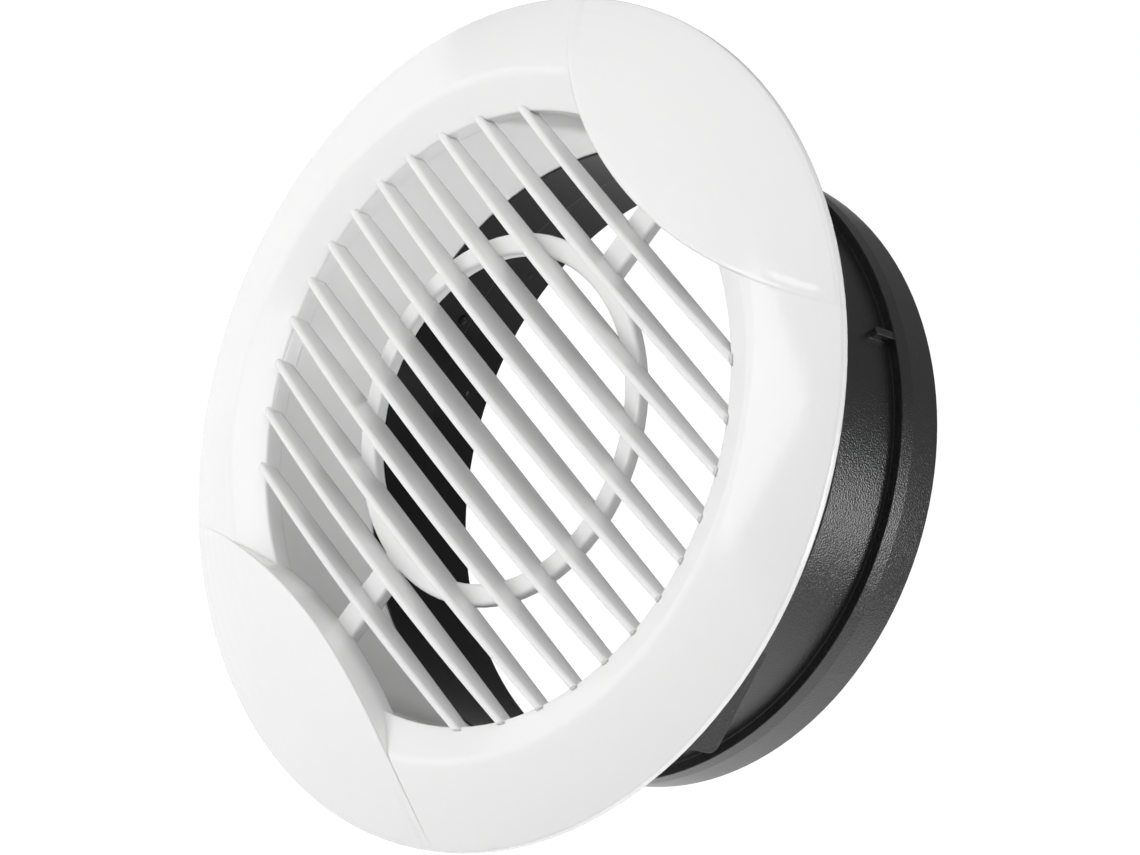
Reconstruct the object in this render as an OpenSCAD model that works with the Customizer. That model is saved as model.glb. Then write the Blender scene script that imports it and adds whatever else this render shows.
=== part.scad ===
// Round ventilation grille: a white slatted cover with a collar,
// pushed into a black base ring that slides into a 150 mm duct.
// It is drawn lying on its back and stood up at the end, so that
// the face looks along -Y and the duct runs away along +Y.

/* [Flange] */
// Outside diameter of the flange
flange_d = 197; // [188:1:206]
// Height of the flange's outer edge
edge_h = 1.6; // [1.2:0.1:2.4]
// Rounding of the outer edge
edge_round = 0.7; // [0.2:0.1:1]
// Width of the flat seat behind the outer edge
seat_w = 2.5; // [1.5:0.1:4]
// Wall of the moulded shell
shell_t = 2.2; // [1.6:0.1:2.6]
// Radius of the domed section
dome_sr = 83.6; // [70:1:110]
// Diameter of the line where dome and inner slope meet
crest_d = 159; // [155:1:166]
// Height of that line above the wall
crest_h = 10.65; // [9:0.05:13]
// Rounding of the crest
crest_round = 3.5; // [1:0.5:6]

/* [Opening] */
// Diameter of the opening at the rim
rim_d = 141.8; // [136:0.2:146]
// Height of the rim above the wall
rim_h = 6.5; // [5:0.1:8]
// Rounding of the rim
rim_round = 0.6; // [0.2:0.1:1]
// Length of the narrow band behind the rim
lip_l = 4.5; // [3:0.1:6]
// Step from that band out to the collar
lip_step = 0.3; // [0.2:0.1:1]

/* [Petals] */
// Distance from the centre to the middle of a petal's edge
petal_y = 62.7; // [60:0.1:66]
// Radius of a petal's curved edge
petal_arc_r = 112.3; // [95:0.1:140]
// Rise of the petals over the flange at the crest
petal_rise = 0.2; // [0.2:0.1:1]
// Rise that is left at their outer end
petal_end_rise = 0.05; // [0.05:0.05:0.2]
// Distance of the petals from the flange's outer edge
petal_inset = 0.8; // [0.8:0.1:3]
// Wall that hangs from a petal's edge
skirt_t = 2; // [1.2:0.1:3]
// Height of that wall's lower edge above the wall
skirt_z = 3.3; // [2.5:0.1:5]

/* [Slats] */
// Number of slats
slat_count = 12; // [6:2:12]
// Distance from slat to slat
slat_pitch = 9.75; // [8:0.05:10]
// Thickness of a slat
slat_t = 1.7; // [1.2:0.1:2.5]
// Height of the slats' straight rear edges
slat_back = 3.2; // [2.4:0.1:4]
// Crown of the middle slats over the rim
slat_crown = 7.1; // [4:0.1:9]
// Crown of the outermost slats over the rim
slat_end_crown = 4.3; // [3:0.1:6]
// Diameter at which the slats run out on the inner slope
slat_tip_d = 143.6; // [143.4:0.1:143.7]
// Height of the slats' tips over the slope there
slat_tip_h = 0.3; // [0.2:0.1:1]

/* [Support] */
// Outer diameter of the support ring behind the slats
hoop_d = 86; // [70:1:96]
// Width of the support ring
hoop_w = 5; // [3:0.1:8]
// Thickness of the support ring and the spokes
hoop_t = 2.7; // [2:0.1:4]
// Height of their front face above the wall
hoop_top = 4.4; // [3.8:0.1:5]
// Width of a spoke
spoke_w = 7.2; // [4:0.1:12]
// Rounding of their front corners
hoop_round = 0.9; // [0.2:0.1:1.2]

/* [Collar] */
// Length of the collar behind the wall plane
collar_l = 29.5; // [24:0.5:40]
// Wall of the collar
collar_t = 1.4; // [1.2:0.1:1.8]
// Thickness left at the collar's bevelled end
nose_t = 0.5; // [0.3:0.1:0.9]
// Length of that bevel
nose_l = 2.2; // [1.5:0.1:3]

/* [Base ring] */
// Gap all round between the collar and its socket
push_gap = 0.15; // [0.1:0.05:0.3]
// Length of the socket over the collar
socket_l = 16; // [10:0.5:20]
// Wall of the socket
socket_t = 1.45; // [1.2:0.05:2]
// How far the base ring's wall stands inside the collar
ring_inset = 0.4; // [0.2:0.1:0.6]
// Wall of the base ring
ring_t = 1.4; // [1.2:0.1:1.8]
// Length from the collar's end to the outer step
ring_l = 19; // [16:0.5:30]
// Distance of the inner ledge in front of the outer step
ledge_l = 2.7; // [1:0.1:6]
// Depth of the inner ledge
ledge_step = 0.4; // [0.2:0.1:0.8]
// Diameter of the band that guides the ring in the duct
spigot_d = 149.2; // [148:0.1:150]
// Length of the band's straight stretch
spigot_l = 4; // [3:0.5:8]
// Length of its taper
taper_l = 9.9; // [6:0.1:16]
// Diameter at the rear end
rear_d = 147; // [146:0.1:148]

/* [Spring tongues and ribs] */
// Number of tongues, and of ribs
tongue_count = 3; // [2:1:4]
// Direction of the first tongue's root
tongue_at = 0.5; // [-20:0.5:20]
// Length of a tongue
tongue_l = 27.5; // [20:0.5:32]
// Width of a tongue
tongue_w = 11; // [8:0.5:12]
// Thickness of a tongue
tongue_t = 1.6; // [1:0.1:2]
// Slant of a tongue away from the ring
tongue_slant = 12; // [8:1:16]
// Distance of its rear edge behind the collar's end
tongue_drop = 4.5; // [3:0.5:8]
// Rounding of its free corners
tongue_round = 2.5; // [0.5:0.5:4]
// Direction of the first rib
rib_at = 62.15; // [50:0.5:75]
// Width of a rib
rib_w = 1.9; // [1.2:0.1:3]
// How far a rib stays below the band
rib_drop = 0.2; // [0.1:0.1:1]
// Length of a rib in front of the outer step
rib_l = 6.5; // [4:0.5:10]

/* [Hidden] */
round_fn = 180;
arc_n = 10;
nose_n = 4;
// How far a hidden end runs into, or past, what it meets
overlap = 1;

flange_r = flange_d / 2;
rim_r = rim_d / 2;
crest_r = crest_d / 2;
tip_r = slat_tip_d / 2;
hoop_r = hoop_d / 2;
lip_z = rim_h - lip_l;
collar_ri = rim_r + lip_step;
collar_ro = collar_ri + collar_t;
collar_mid = collar_ri + collar_t / 2;
petal_c = petal_y + petal_arc_r;

socket_ri = collar_ro + push_gap;
socket_ro = socket_ri + socket_t;
ring_ri = collar_ri - ring_inset;
ring_ro = ring_ri + ring_t;
ledge_ri = ring_ri + ledge_step;
spigot_r = spigot_d / 2;
rear_r = rear_d / 2;
step_z = -collar_l - ring_l;
taper_z = step_z - spigot_l;
rear_z = taper_z - taper_l;
ledge_z = step_z + ledge_l;

// Points and corners

function unit(v) = v / norm(v);

function polar(c, r, a) = c + r * [cos(a), sin(a)];

function angle_of(v) = atan2(v[1], v[0]);

function arc(c, r, a0, a1, n = arc_n) =
    [for (i = [0:n]) polar(c, r, a0 + (a1 - a0) * i / n)];

// Rounds the corner p that has its two sides towards a and b
function corner(p, a, b, r) =
    let (u = unit(a))
    let (v = unit(b))
    let (half = acos(u * v) / 2)
    let (c = p + unit(u + v) * r / sin(half))
    let (start = angle_of(p + u * r / tan(half) - c))
    let (end = angle_of(p + v * r / tan(half) - c))
    arc(c, r, start, start + (end - start + 540) % 360 - 180);

// Centre, on the inner side, of a circle that runs from outer to inner
function centre_through(outer, inner, radius) =
    let (chord = outer - inner)
    (outer + inner) / 2
    + [chord[1], -chord[0]] / norm(chord)
      * sqrt(pow(radius, 2) - pow(norm(chord) / 2, 2));

// Height and angle at which a circle about c passes the distance r
function height_at(r, c, radius) = c[1] + sqrt(pow(radius, 2) - pow(r - c[0], 2));

function angle_at(r, c, radius) = acos((r - c[0]) / radius);

// The dome's section is a circle through the outer edge and the crest
edge_pt = [flange_r, edge_h];
crest_pt = [crest_r, crest_h];
rim_pt = [rim_r, rim_h];
dome_c = centre_through(edge_pt, crest_pt, dome_sr);

// The inner slope is a straight line from the rim to the crest
slope = unit(crest_pt - rim_pt);
slope_out = [-slope[1], slope[0]];

// Height of the line that lies d under the slope, at radius r
function slope_z(r, d) =
    rim_h - d * slope_out[1]
    + (r - rim_r + d * slope_out[0]) * slope[1] / slope[0];

// The point that lies d under both the slope and the dome
function under_crest(d) =
    let (w = rim_pt - d * slope_out - dome_c)
    let (along = w * slope)
    rim_pt - d * slope_out
    + slope * (sqrt(pow(along, 2) - w * w + pow(dome_sr - d, 2)) - along);

// Underside of the flange, from the collar out to the seat
inner_r = dome_sr - shell_t;
seat_r = flange_r - seat_w;
underside = concat(
    [[collar_ro, slope_z(collar_ro, shell_t)]],
    arc(dome_c, inner_r,
        angle_of(under_crest(shell_t) - dome_c),
        angle_at(seat_r, dome_c, inner_r)),
    [[seat_r, 0]]);

crest_c = under_crest(crest_round);
edge_out = edge_pt - dome_c;
edge_path = corner(edge_pt, [0, -1], [-edge_out[1], edge_out[0]], edge_round);

// Section of flange, rim and collar
module cover_section() {
    polygon(concat(
        underside,
        [[flange_r, 0]],
        edge_path,
        arc(dome_c, dome_sr,
            angle_of(edge_path[arc_n] - dome_c), angle_of(crest_c - dome_c)),
        arc(crest_c, crest_round,
            angle_of(crest_c - dome_c), angle_of(slope_out)),
        corner(rim_pt, slope, [0, -1], rim_round),
        [[rim_r, lip_z],
         [collar_ri, lip_z - lip_step],
         [collar_ri, -collar_l],
         [collar_ri + nose_t, -collar_l],
         [collar_ro, nose_l - collar_l]]));
}

// A petal's section is the dome's circle, raised more at the crest
petal_r = flange_r - petal_inset;
petal_end = [petal_r, height_at(petal_r, dome_c, dome_sr) + petal_end_rise];
petal_o = centre_through(petal_end, crest_pt + [0, petal_rise], dome_sr);
petal_from = petal_y - 2 * overlap;
skirt_from = petal_y + skirt_t - 1.5 * overlap;
petal_foot_z = edge_h / 2;

// Section of the dome that is left whole as the petals
module petal_section() {
    polygon(concat(
        [[petal_from, skirt_z],
         [collar_mid, skirt_z],
         [collar_mid, petal_foot_z],
         [petal_r, petal_foot_z]],
        arc(petal_o, dome_sr,
            angle_at(petal_r, petal_o, dome_sr),
            angle_at(petal_from, petal_o, dome_sr))));
}

// Space under a petal, from r0 to r1 and up from z0
module under_petal_section(r0, r1, z0, n) {
    polygon(concat(
        [[r0, z0],
         [r1, z0]],
        arc(petal_o, inner_r,
            angle_at(r1, petal_o, inner_r), angle_at(r0, petal_o, inner_r), n)));
}

module turned() {
    rotate_extrude($fn = round_fn) children();
}

module petal_block(r) {
    for (side = [-1, 1])
        translate([0, side * petal_c, -collar_l])
            cylinder(h = collar_l + 4 * crest_h, r = r, $fn = 2 * round_fn);
}

module shell() {
    difference() {
        union() {
            turned() cover_section();
            intersection() {
                turned() petal_section();
                petal_block(petal_arc_r);
            }
        }
        intersection() {
            union() {
                turned()
                    under_petal_section(skirt_from, collar_ri,
                                        lip_z - overlap, nose_n - 1);
                turned()
                    under_petal_section(collar_ro, seat_r, -overlap, arc_n);
            }
            petal_block(petal_arc_r - skirt_t);
        }
    }
}

// Slats

slat_reach = (slat_count - 1) / 2 * slat_pitch;
slat_end_z = slope_z(tip_r, 0) + slat_t / 2 + slat_tip_h;

function slat_mid_z(y) =
    rim_h + slat_crown
    - (slat_crown - slat_end_crown) * pow(y / slat_reach, 2);

// Upright strip with a round nose, bent to an arc of radius r
module bent_blade(r, depth, reach) {
    half = asin(reach / r);
    rotate([90, 0, 0])
        rotate([0, 0, 90 - half])
            rotate_extrude(angle = 2 * half, $fn = 8 * round_fn)
                polygon(concat(
                    [[r - depth, -slat_t / 2]],
                    arc([r - slat_t / 2, 0], slat_t / 2, -90, 90, nose_n),
                    [[r - depth, slat_t / 2]]));
}

module slat(y) {
    span = sqrt(pow(tip_r, 2) - pow(y, 2));
    bow = slat_mid_z(abs(y)) - slat_end_z;
    r = (pow(span, 2) + pow(bow, 2)) / (2 * bow);
    depth = slat_mid_z(abs(y)) - slat_back + overlap;
    translate([0, y, slat_mid_z(abs(y)) - r])
        bent_blade(r, depth, span + 3 * overlap);
}

// The slats end just inside the collar's outer face
module slats() {
    intersection() {
        union()
            for (i = [0:slat_count - 1])
                slat(i * slat_pitch - slat_reach);
        translate([0, 0, slat_back])
            cylinder(h = rim_h + 2 * slat_crown, r = tip_r, $fn = round_fn);
    }
}

// Bar section with rounded front corners, from x0 to x1
module bar_section(x0, x1) {
    polygon(concat(
        [[x0, hoop_top - hoop_t],
         [x1, hoop_top - hoop_t]],
        corner([x1, hoop_top], [0, -1], [-1, 0], hoop_round),
        corner([x0, hoop_top], [1, 0], [0, -1], hoop_round)));
}

module spoke() {
    from = hoop_r - hoop_w / 2;
    to = petal_y + skirt_t / 2;
    translate([0, to, 0])
        rotate([90, 0, 0])
            linear_extrude(height = to - from)
                bar_section(-spoke_w / 2, spoke_w / 2);
}

module support() {
    turned() bar_section(hoop_r - hoop_w, hoop_r);
    spoke();
    mirror([0, 1, 0]) spoke();
}

// White moulding: flange with two petals, slats, support and collar
module front_cover() {
    color([0.95, 0.95, 0.94])
        rotate([90, 0, 0])
            union() {
                shell();
                slats();
                support();
            }
}

// Base ring

socket_z = socket_l - collar_l;
root_z = -collar_l - ring_t / 2;

module ring_outline() {
    polygon([
        [ring_ri - 2 * overlap, rear_z],
        [rear_r, rear_z],
        [spigot_r, taper_z],
        [spigot_r, step_z],
        [ring_ro, step_z],
        [ring_ro, root_z],
        [socket_ro, nose_l - collar_l],
        [socket_ro, socket_z],
        [ring_ri - 2 * overlap, socket_z]]);
}

// The bore, with the seat for the collar's bevelled end
module ring_bore() {
    polygon([
        [0, rear_z - overlap],
        [ledge_ri + ledge_step, rear_z - overlap],
        [ledge_ri + ledge_step, rear_z],
        [ledge_ri, ledge_z],
        [ring_ri, ledge_z],
        [ring_ri, -collar_l],
        [collar_ri + nose_t + push_gap, -collar_l],
        [socket_ri, nose_l - collar_l],
        [socket_ri, socket_z + overlap],
        [0, socket_z + overlap]]);
}

// Flat leaf that leaves the ring at a slant
module tongue() {
    rotate([0, 0, -90 + tongue_slant])
        rotate([90, 0, 0])
            mirror([0, 0, 1])
                translate([0, -collar_l - tongue_drop, -tongue_t])
                    linear_extrude(height = tongue_t)
                        polygon(concat(
                            [[0, tongue_w],
                             [0, 0]],
                            corner([tongue_l, 0], [-1, 0], [0, 1],
                                   tongue_round),
                            corner([tongue_l, tongue_w], [0, -1], [-1, 0],
                                   tongue_round)));
}

// Low bar that runs forward from the outer step
module rib() {
    depth = spigot_r - ring_ri;
    intersection() {
        translate([ring_ri, 0, step_z])
            rotate([0, 90, 0])
                linear_extrude(height = depth + overlap) {
                    translate([rib_w / 2 - rib_l, -rib_w / 2])
                        square([rib_l, rib_w]);
                    translate([rib_w / 2 - rib_l, 0])
                        circle(d = rib_w, $fn = 32);
                }
        translate([0, 0, step_z - rib_w])
            cylinder(h = rib_l + 2 * rib_w, r = spigot_r - rib_drop,
                     $fn = round_fn);
    }
}

// Black moulding: socket for the collar, three tongues, duct spigot
module base_ring() {
    color([0.16, 0.16, 0.17])
        rotate([90, 0, 0])
            difference() {
                union() {
                    turned() ring_outline();
                    for (i = [0:tongue_count - 1]) {
                        rotate([0, 0, tongue_at + i * 360 / tongue_count])
                            translate([ring_ro - ring_t / 4, 0, 0])
                                tongue();
                        rotate([0, 0, rib_at + i * 360 / tongue_count])
                            rib();
                    }
                }
                turned() ring_bore();
            }
}

front_cover();
base_ring();
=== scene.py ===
import math

import bpy
from mathutils import Matrix, Vector


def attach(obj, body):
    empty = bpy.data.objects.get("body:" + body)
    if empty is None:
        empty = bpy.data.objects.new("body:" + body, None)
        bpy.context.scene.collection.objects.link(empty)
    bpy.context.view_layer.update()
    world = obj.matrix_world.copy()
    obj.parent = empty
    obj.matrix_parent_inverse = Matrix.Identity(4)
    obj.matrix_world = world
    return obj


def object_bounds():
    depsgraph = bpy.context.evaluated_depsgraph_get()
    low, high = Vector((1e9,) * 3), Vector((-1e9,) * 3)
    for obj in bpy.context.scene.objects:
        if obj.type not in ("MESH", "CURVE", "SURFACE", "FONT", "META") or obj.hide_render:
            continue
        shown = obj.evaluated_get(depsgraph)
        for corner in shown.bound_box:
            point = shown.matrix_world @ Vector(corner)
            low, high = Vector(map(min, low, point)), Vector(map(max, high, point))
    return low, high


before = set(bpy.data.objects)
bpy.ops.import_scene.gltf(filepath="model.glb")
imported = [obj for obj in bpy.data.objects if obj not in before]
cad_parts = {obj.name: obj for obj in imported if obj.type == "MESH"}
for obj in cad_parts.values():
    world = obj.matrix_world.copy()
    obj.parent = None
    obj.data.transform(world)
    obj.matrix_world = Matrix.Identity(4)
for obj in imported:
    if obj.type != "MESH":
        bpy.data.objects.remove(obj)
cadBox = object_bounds()
print("frame loaded:", sorted(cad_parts))


# camera, held a little above and to the right of the face and rolled

cameraSetup = {
    "spot": (0.85435, -0.96311, 0.42729),
    "right": (0.48667, 0.66765, 0.56339),
    "up": (-0.61092, -0.20088, 0.76578),
    "back": (0.62444, -0.71687, 0.31012),
    "lens": 189.47,
    "sensorWidth": 36.0,
    "nearest": 0.05,
    "farthest": 20.0,
}


def placeCamera(setup):
    data = bpy.data.cameras.new("camera")
    data.lens = setup["lens"]
    data.sensor_fit = "HORIZONTAL"
    data.sensor_width = setup["sensorWidth"]
    data.clip_start = setup["nearest"]
    data.clip_end = setup["farthest"]
    camera = bpy.data.objects.new("camera", data)
    bpy.context.scene.collection.objects.link(camera)
    turn = Matrix((setup["right"], setup["up"], setup["back"])).transposed()
    camera.matrix_world = Matrix.Translation(setup["spot"]) @ turn.to_4x4()
    bpy.context.scene.camera = camera


placeCamera(cameraSetup)
print("camera placed")


# node helpers; a noise is given by its scale, detail and roughness, and one
# that makes relief also by its depth in metres and its strength

def newMaterial(name):
    material = bpy.data.materials.new(name)
    material.use_nodes = True
    tree = material.node_tree
    tree.nodes.clear()
    output = tree.nodes.new("ShaderNodeOutputMaterial")
    return material, tree, output


def addNode(tree, kind, **sockets):
    made = tree.nodes.new(kind)
    for name, value in sockets.items():
        made.inputs[name].default_value = value
    return made


def calculate(tree, operation, first, second=None):
    node = tree.nodes.new("ShaderNodeMath")
    node.operation = operation
    for socket, value in zip(node.inputs, (first, second)):
        if isinstance(value, float):
            socket.default_value = value
        elif value is not None:
            tree.links.new(value, socket)
    return node.outputs[0]


def spread(tree, value, low, high, start=0.0, end=1.0, way="LINEAR"):
    ranged = tree.nodes.new("ShaderNodeMapRange")
    ranged.interpolation_type = way
    ranged.inputs["From Min"].default_value = start
    ranged.inputs["From Max"].default_value = end
    ranged.inputs["To Min"].default_value = low
    ranged.inputs["To Max"].default_value = high
    tree.links.new(value, ranged.inputs["Value"])
    return ranged.outputs["Result"]


def easeOver(tree, value, start, end, low, high):
    return spread(tree, value, low, high, start, end, "SMOOTHSTEP")


def distance(tree, first, second):
    across = calculate(tree, "POWER", first, 2.0)
    upright = calculate(tree, "POWER", second, 2.0)
    return calculate(tree, "SQRT", calculate(tree, "ADD", across, upright))


def noiseAt(tree, place, noise):
    made = addNode(tree, "ShaderNodeTexNoise", Scale=noise["scale"],
                   Detail=noise["detail"], Roughness=noise["rough"])
    tree.links.new(place, made.inputs["Vector"])
    return made.outputs["Fac"]


def tint(tree, share, dark, light):
    mix = tree.nodes.new("ShaderNodeMix")
    mix.data_type = "RGBA"
    mix.inputs["A"].default_value = (*dark, 1.0)
    mix.inputs["B"].default_value = (*light, 1.0)
    tree.links.new(share, mix.inputs["Factor"])
    return mix.outputs["Result"]


def softCorners(tree, look):
    soft = addNode(tree, "ShaderNodeBevel", Radius=look["edgeRadius"])
    soft.samples = look["edgeSamples"]
    return soft.outputs["Normal"]


def bumpOver(tree, below, height, depth, strength=1.0):
    bump = addNode(tree, "ShaderNodeBump", Strength=strength, Distance=depth)
    tree.links.new(height, bump.inputs["Height"])
    tree.links.new(below, bump.inputs["Normal"])
    return bump.outputs["Normal"]


def wavesOver(tree, below, place, waves):
    height = noiseAt(tree, place, waves)
    return bumpOver(tree, below, height, waves["depth"], waves["strength"])


# glossy white moulded plastic, with soft corners and faint flow marks; a thin
# band falls away along the petals' edges, and where the petals' step fades
# out, near the flange's edge, a shallow soft groove carries it on

whiteLook = {
    "light": (0.915, 0.915, 0.912),
    "dark": (0.895, 0.895, 0.892),
    "cloud": {"scale": 25.0, "detail": 3.0, "rough": 0.5},
    "ior": 1.5,
    "roughLow": 0.08,
    "roughHigh": 0.18,
    "smear": {"scale": 90.0, "detail": 4.0, "rough": 0.6},
    "edgeRadius": 0.0007,
    "edgeSamples": 6,
    "flow": {"scale": 14.0, "detail": 1.0, "rough": 0.4, "depth": 0.0004, "strength": 0.3},
    "ripple": {"scale": 45.0, "detail": 2.0, "rough": 0.4, "depth": 0.0008, "strength": 0.12},
}

# each petal's edge is an arc round a point on the upright line through the
# axis; the groove lies just inside it and comes in between two distances
# from the axis

petalEdge = {
    "centre": 0.175,
    "arcRadius": 0.1123,
    "bandWidth": 0.0011,
    "bandFall": 0.00012,
    "grooveInside": 0.0012,
    "grooveHalf": 0.0022,
    "grooveDepth": 0.00025,
    "grooveFrom": 0.083,
    "grooveFull": 0.090,
}


def petalHeights(tree, place, edge):
    parts = tree.nodes.new("ShaderNodeSeparateXYZ")
    tree.links.new(place, parts.inputs[0])
    height = calculate(tree, "ABSOLUTE", parts.outputs["Z"])
    offset = calculate(tree, "SUBTRACT", edge["centre"], height)
    reach = distance(tree, parts.outputs["X"], offset)
    bandFrom = edge["arcRadius"] - edge["bandWidth"]
    band = easeOver(tree, reach, bandFrom, edge["arcRadius"], 1.0, 0.0)
    middle = edge["arcRadius"] - edge["grooveInside"]
    aside = calculate(tree, "ABSOLUTE", calculate(tree, "SUBTRACT", reach, middle))
    groove = easeOver(tree, aside, 0.0, edge["grooveHalf"], -1.0, 0.0)
    fromAxis = distance(tree, parts.outputs["X"], parts.outputs["Z"])
    share = easeOver(tree, fromAxis, edge["grooveFrom"], edge["grooveFull"], 0.0, 1.0)
    return band, calculate(tree, "MULTIPLY", groove, share)


def mouldedWhite(look, edge):
    material, tree, output = newMaterial("mouldedWhite")
    place = tree.nodes.new("ShaderNodeTexCoord").outputs["Object"]
    shader = addNode(tree, "ShaderNodeBsdfPrincipled", IOR=look["ior"])
    color = tint(tree, noiseAt(tree, place, look["cloud"]), look["dark"], look["light"])
    tree.links.new(color, shader.inputs["Base Color"])
    smear = noiseAt(tree, place, look["smear"])
    rough = spread(tree, smear, look["roughLow"], look["roughHigh"])
    tree.links.new(rough, shader.inputs["Roughness"])
    band, groove = petalHeights(tree, place, edge)
    normal = softCorners(tree, look)
    normal = bumpOver(tree, normal, band, edge["bandFall"])
    normal = bumpOver(tree, normal, groove, edge["grooveDepth"])
    normal = wavesOver(tree, normal, place, look["flow"])
    normal = wavesOver(tree, normal, place, look["ripple"])
    tree.links.new(normal, shader.inputs["Normal"])
    tree.links.new(shader.outputs["BSDF"], output.inputs["Surface"])
    return material


# black moulded plastic, finely grained outside and smoother inside; a face
# counts as outside unless it looks towards the axis by more than flatLimit

blackLook = {
    "light": (0.015, 0.015, 0.016),
    "dark": (0.010, 0.010, 0.0105),
    "cloud": {"scale": 40.0, "detail": 4.0, "rough": 0.5},
    "ior": 1.5,
    "outerRough": 0.3,
    "innerRough": 0.17,
    "roughSpread": 0.04,
    "outerShine": 0.65,
    "innerShine": 0.08,
    "edgeRadius": 0.0004,
    "edgeSamples": 6,
    "wave": {"scale": 55.0, "detail": 1.0, "rough": 0.4, "depth": 0.00005, "strength": 0.2},
    "grain": {"scale": 2600.0, "detail": 0.0, "rough": 0.5},
    "grainDepth": 0.00009,
    "grainInside": 0.2,
    "flatLimit": -0.001,
}


def facesOutward(tree, place, look):
    parts = tree.nodes.new("ShaderNodeSeparateXYZ")
    tree.links.new(place, parts.inputs[0])
    fromAxis = tree.nodes.new("ShaderNodeCombineXYZ")
    tree.links.new(parts.outputs["X"], fromAxis.inputs["X"])
    tree.links.new(parts.outputs["Z"], fromAxis.inputs["Z"])
    surface = tree.nodes.new("ShaderNodeNewGeometry")
    along = tree.nodes.new("ShaderNodeVectorMath")
    along.operation = "DOT_PRODUCT"
    tree.links.new(fromAxis.outputs[0], along.inputs[0])
    tree.links.new(surface.outputs["Normal"], along.inputs[1])
    return calculate(tree, "GREATER_THAN", along.outputs["Value"], look["flatLimit"])


def mouldedBlack(look):
    material, tree, output = newMaterial("mouldedBlack")
    place = tree.nodes.new("ShaderNodeTexCoord").outputs["Object"]
    shader = addNode(tree, "ShaderNodeBsdfPrincipled", IOR=look["ior"])
    cloudy = noiseAt(tree, place, look["cloud"])
    color = tint(tree, cloudy, look["dark"], look["light"])
    tree.links.new(color, shader.inputs["Base Color"])
    outside = facesOutward(tree, place, look)
    rough = spread(tree, outside, look["innerRough"], look["outerRough"])
    uneven = spread(tree, cloudy, -look["roughSpread"], look["roughSpread"])
    tree.links.new(calculate(tree, "ADD", rough, uneven), shader.inputs["Roughness"])
    shine = spread(tree, outside, look["innerShine"], look["outerShine"])
    tree.links.new(shine, shader.inputs["Specular IOR Level"])
    normal = softCorners(tree, look)
    normal = wavesOver(tree, normal, place, look["wave"])
    share = spread(tree, outside, look["grainInside"], 1.0)
    grain = calculate(tree, "MULTIPLY", noiseAt(tree, place, look["grain"]), share)
    normal = bumpOver(tree, normal, grain, look["grainDepth"])
    tree.links.new(normal, shader.inputs["Normal"])
    tree.links.new(shader.outputs["BSDF"], output.inputs["Surface"])
    return material


def dress(node, material):
    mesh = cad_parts[node].data
    mesh.materials.clear()
    mesh.materials.append(material)


whitePlastic = mouldedWhite(whiteLook, petalEdge)
blackPlastic = mouldedBlack(blackLook)
dress("front_cover", whitePlastic)
dress("base_ring", blackPlastic)
print("materials made")


# marks that the mould's pins left on the inside of the base ring; angles are
# turned about the duct's axis, depths run back from the wall plane, and each
# mark is a closed low dome with its foot sunk in the ring's wall, which is
# wider from rearFrom on

pinMarks = {
    "wallRadius": 0.0708,
    "rearRadius": 0.0716,
    "rearFrom": 0.0456,
    "footSunk": 0.0003,
    "rings": 6,
    "spokes": 28,
    "marks": {
        "gate": {"angle": 190.0, "depth": 0.0430, "radius": 0.0013, "rise": 0.0008},
        "pinUpper": {"angle": 177.4, "depth": 0.0547, "radius": 0.0014, "rise": 0.0003},
        "pinLower": {"angle": 203.8, "depth": 0.0555, "radius": 0.0013, "rise": 0.0003},
    },
}


def spotOnWall(mark, wall, lift, across, along):
    turn = math.radians(mark["angle"])
    outward = Vector((math.cos(turn), 0.0, math.sin(turn)))
    sideways = Vector((-math.sin(turn), 0.0, math.cos(turn)))
    fromAxis = wall - lift - across * across / (2 * wall)
    spot = outward * fromAxis + sideways * across
    spot.y = mark["depth"] + along
    return tuple(spot)


def domeCorners(mark, wall, setup):
    corners = [spotOnWall(mark, wall, mark["rise"], 0.0, 0.0)]
    for ring in range(1, setup["rings"] + 1):
        share = ring / setup["rings"] * math.pi / 2
        reach = mark["radius"] * math.sin(share)
        lift = mark["rise"] * math.cos(share)
        for spoke in range(setup["spokes"]):
            around = math.tau * spoke / setup["spokes"]
            across = reach * math.cos(around)
            along = reach * math.sin(around)
            corners.append(spotOnWall(mark, wall, lift, across, along))
    corners.append(spotOnWall(mark, wall, -setup["footSunk"], 0.0, 0.0))
    return corners


def domeFaces(rings, spokes):
    faces = []
    foot = 1 + rings * spokes
    for spoke in range(spokes):
        here = 1 + spoke
        beside = 1 + (spoke + 1) % spokes
        faces.append((0, here, beside))
        for ring in range(rings - 1):
            faces.append((here, here + spokes, beside + spokes, beside))
            here += spokes
            beside += spokes
        faces.append((here, foot, beside))
    return faces


def raiseMark(name, mark, setup):
    atRear = mark["depth"] > setup["rearFrom"]
    wall = setup["rearRadius"] if atRear else setup["wallRadius"]
    corners = domeCorners(mark, wall, setup)
    mesh = bpy.data.meshes.new(name)
    mesh.from_pydata(corners, [], domeFaces(setup["rings"], setup["spokes"]))
    mesh.shade_smooth()
    mesh.materials.append(blackPlastic)
    piece = bpy.data.objects.new(name, mesh)
    bpy.context.scene.collection.objects.link(piece)
    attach(piece, "root")


for markName, mark in pinMarks["marks"].items():
    raiseMark(markName, mark, pinMarks)
print("pin marks raised")


# floor, lit evenly to the camera and to reflections, with a share of shadow

stageSetup = {
    "floorBelow": 0.30,
    "floorSize": 12.0,
    "floorColor": (0.92, 0.92, 0.92),
    "glow": 1.3,
    "shadowShare": 0.3,
}


def seenOrMirrored(tree):
    rays = tree.nodes.new("ShaderNodeLightPath")
    direct = calculate(tree, "MAXIMUM", rays.outputs["Is Camera Ray"],
                       rays.outputs["Is Transmission Ray"])
    return calculate(tree, "MAXIMUM", direct, rays.outputs["Is Glossy Ray"])


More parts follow.
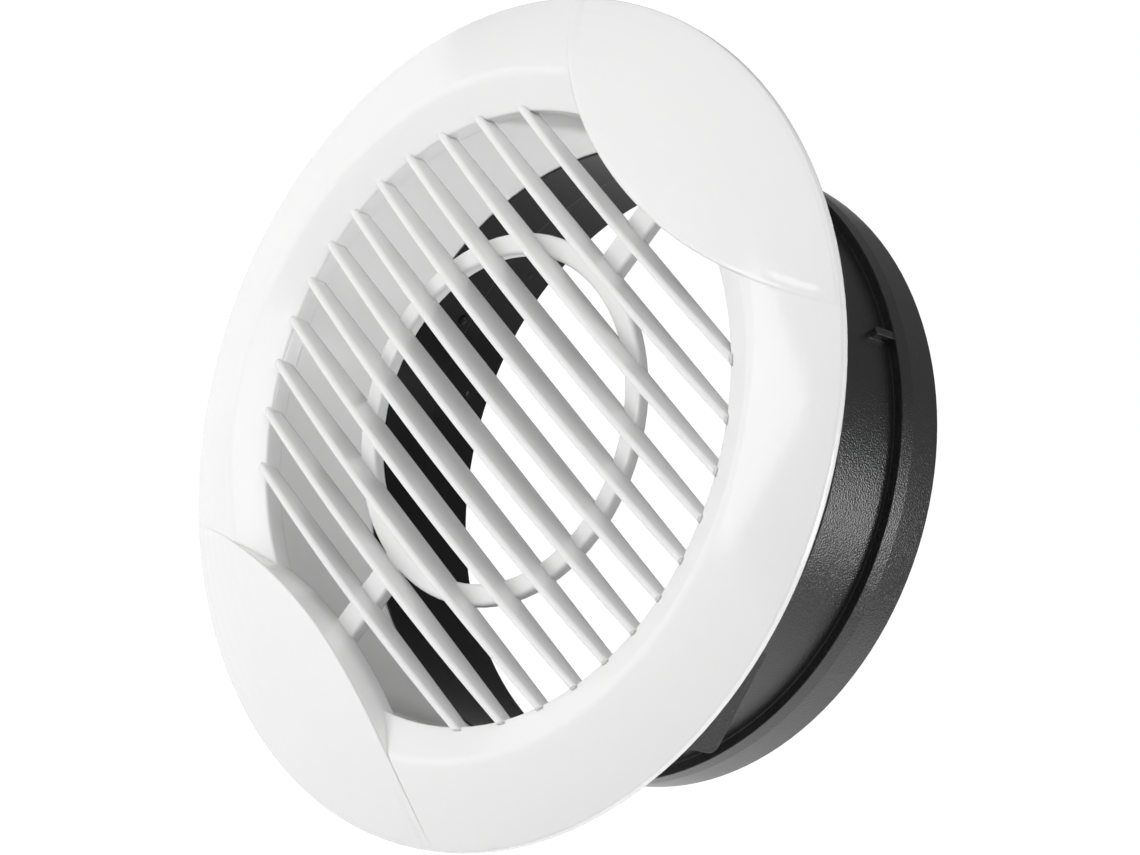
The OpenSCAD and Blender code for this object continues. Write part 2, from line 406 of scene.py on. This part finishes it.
def layFloor(setup):
    material, tree, output = newMaterial("studioFloor")
    matte = addNode(tree, "ShaderNodeBsdfDiffuse", Color=(*setup["floorColor"], 1.0))
    glow = addNode(tree, "ShaderNodeEmission", Strength=setup["glow"])
    mix = tree.nodes.new("ShaderNodeMixShader")
    share = calculate(tree, "MULTIPLY", seenOrMirrored(tree), 1.0 - setup["shadowShare"])
    tree.links.new(share, mix.inputs["Fac"])
    tree.links.new(matte.outputs["BSDF"], mix.inputs[1])
    tree.links.new(glow.outputs["Emission"], mix.inputs[2])
    tree.links.new(mix.outputs["Shader"], output.inputs["Surface"])
    half = setup["floorSize"] / 2
    level = cadBox[0][2] - setup["floorBelow"]
    mesh = bpy.data.meshes.new("floor")
    mesh.from_pydata([(-half, -half, level), (half, -half, level),
                      (half, half, level), (-half, half, level)], [], [(0, 1, 2, 3)])
    mesh.materials.append(material)
    floor = bpy.data.objects.new("floor", mesh)
    bpy.context.scene.collection.objects.link(floor)


# white surroundings: full where the camera sees them, weaker as soft light,
# and weaker still in reflections

roomLight = {
    "color": (1.0, 1.0, 1.0, 1.0),
    "soft": 0.42,
    "mirrored": 0.22,
    "seen": 1.0,
}


def lightSurroundings(setup):
    world = bpy.data.worlds.new("surroundings")
    world.use_nodes = True
    tree = world.node_tree
    tree.nodes.clear()
    output = tree.nodes.new("ShaderNodeOutputWorld")
    room = addNode(tree, "ShaderNodeBackground", Color=setup["color"])
    rays = tree.nodes.new("ShaderNodeLightPath")
    mirrored = spread(tree, rays.outputs["Is Glossy Ray"],
                      setup["soft"], setup["mirrored"])
    seen = calculate(tree, "MULTIPLY", rays.outputs["Is Camera Ray"], setup["seen"])
    tree.links.new(calculate(tree, "MAXIMUM", mirrored, seen), room.inputs["Strength"])
    tree.links.new(room.outputs["Background"], output.inputs["Surface"])
    bpy.context.scene.world = world


layFloor(stageSetup)
lightSurroundings(roomLight)


# soft studio lamps; each place is given in metres from the grille, to the
# right, up and towards the camera; a mirrored one shows only as a reflection

lampSetup = {
    "left": {"place": (-1.06, 0.42, 0.45), "size": 0.6, "power": 6.4, "mirrored": False},
    "top": {"place": (0.4, 1.1, 0.9), "size": 0.8, "power": 5.2, "mirrored": False},
    "right": {"place": (0.9, -0.1, 0.9), "size": 0.6, "power": 1.8, "mirrored": False},
    "behind": {"place": (0.95, -0.75, 0.1), "size": 0.5, "power": 5.4, "mirrored": False},
    "sheen": {"place": (-0.82, 0.47, 0.9), "size": 0.6, "power": 3.2, "mirrored": True},
    "glint": {"place": (0.97, -0.25, 0.24), "size": 0.45, "power": 5.2, "mirrored": True},
}


def hangLamps(setup, camera):
    right = Vector(camera["right"])
    up = Vector(camera["up"])
    back = Vector(camera["back"])
    for name, lamp in setup.items():
        data = bpy.data.lights.new(name, "AREA")
        data.shape = "SQUARE"
        data.size = lamp["size"]
        data.energy = lamp["power"]
        hung = bpy.data.objects.new(name, data)
        bpy.context.scene.collection.objects.link(hung)
        x, y, z = lamp["place"]
        hung.location = right * x + up * y + back * z
        hung.rotation_euler = hung.location.to_track_quat("Z", "Y").to_euler()
        hung.visible_diffuse = not lamp["mirrored"]
        hung.visible_glossy = lamp["mirrored"]


hangLamps(lampSetup, cameraSetup)
print("stage and lamps set")


bpy.context.scene.view_settings.view_transform = "Standard"
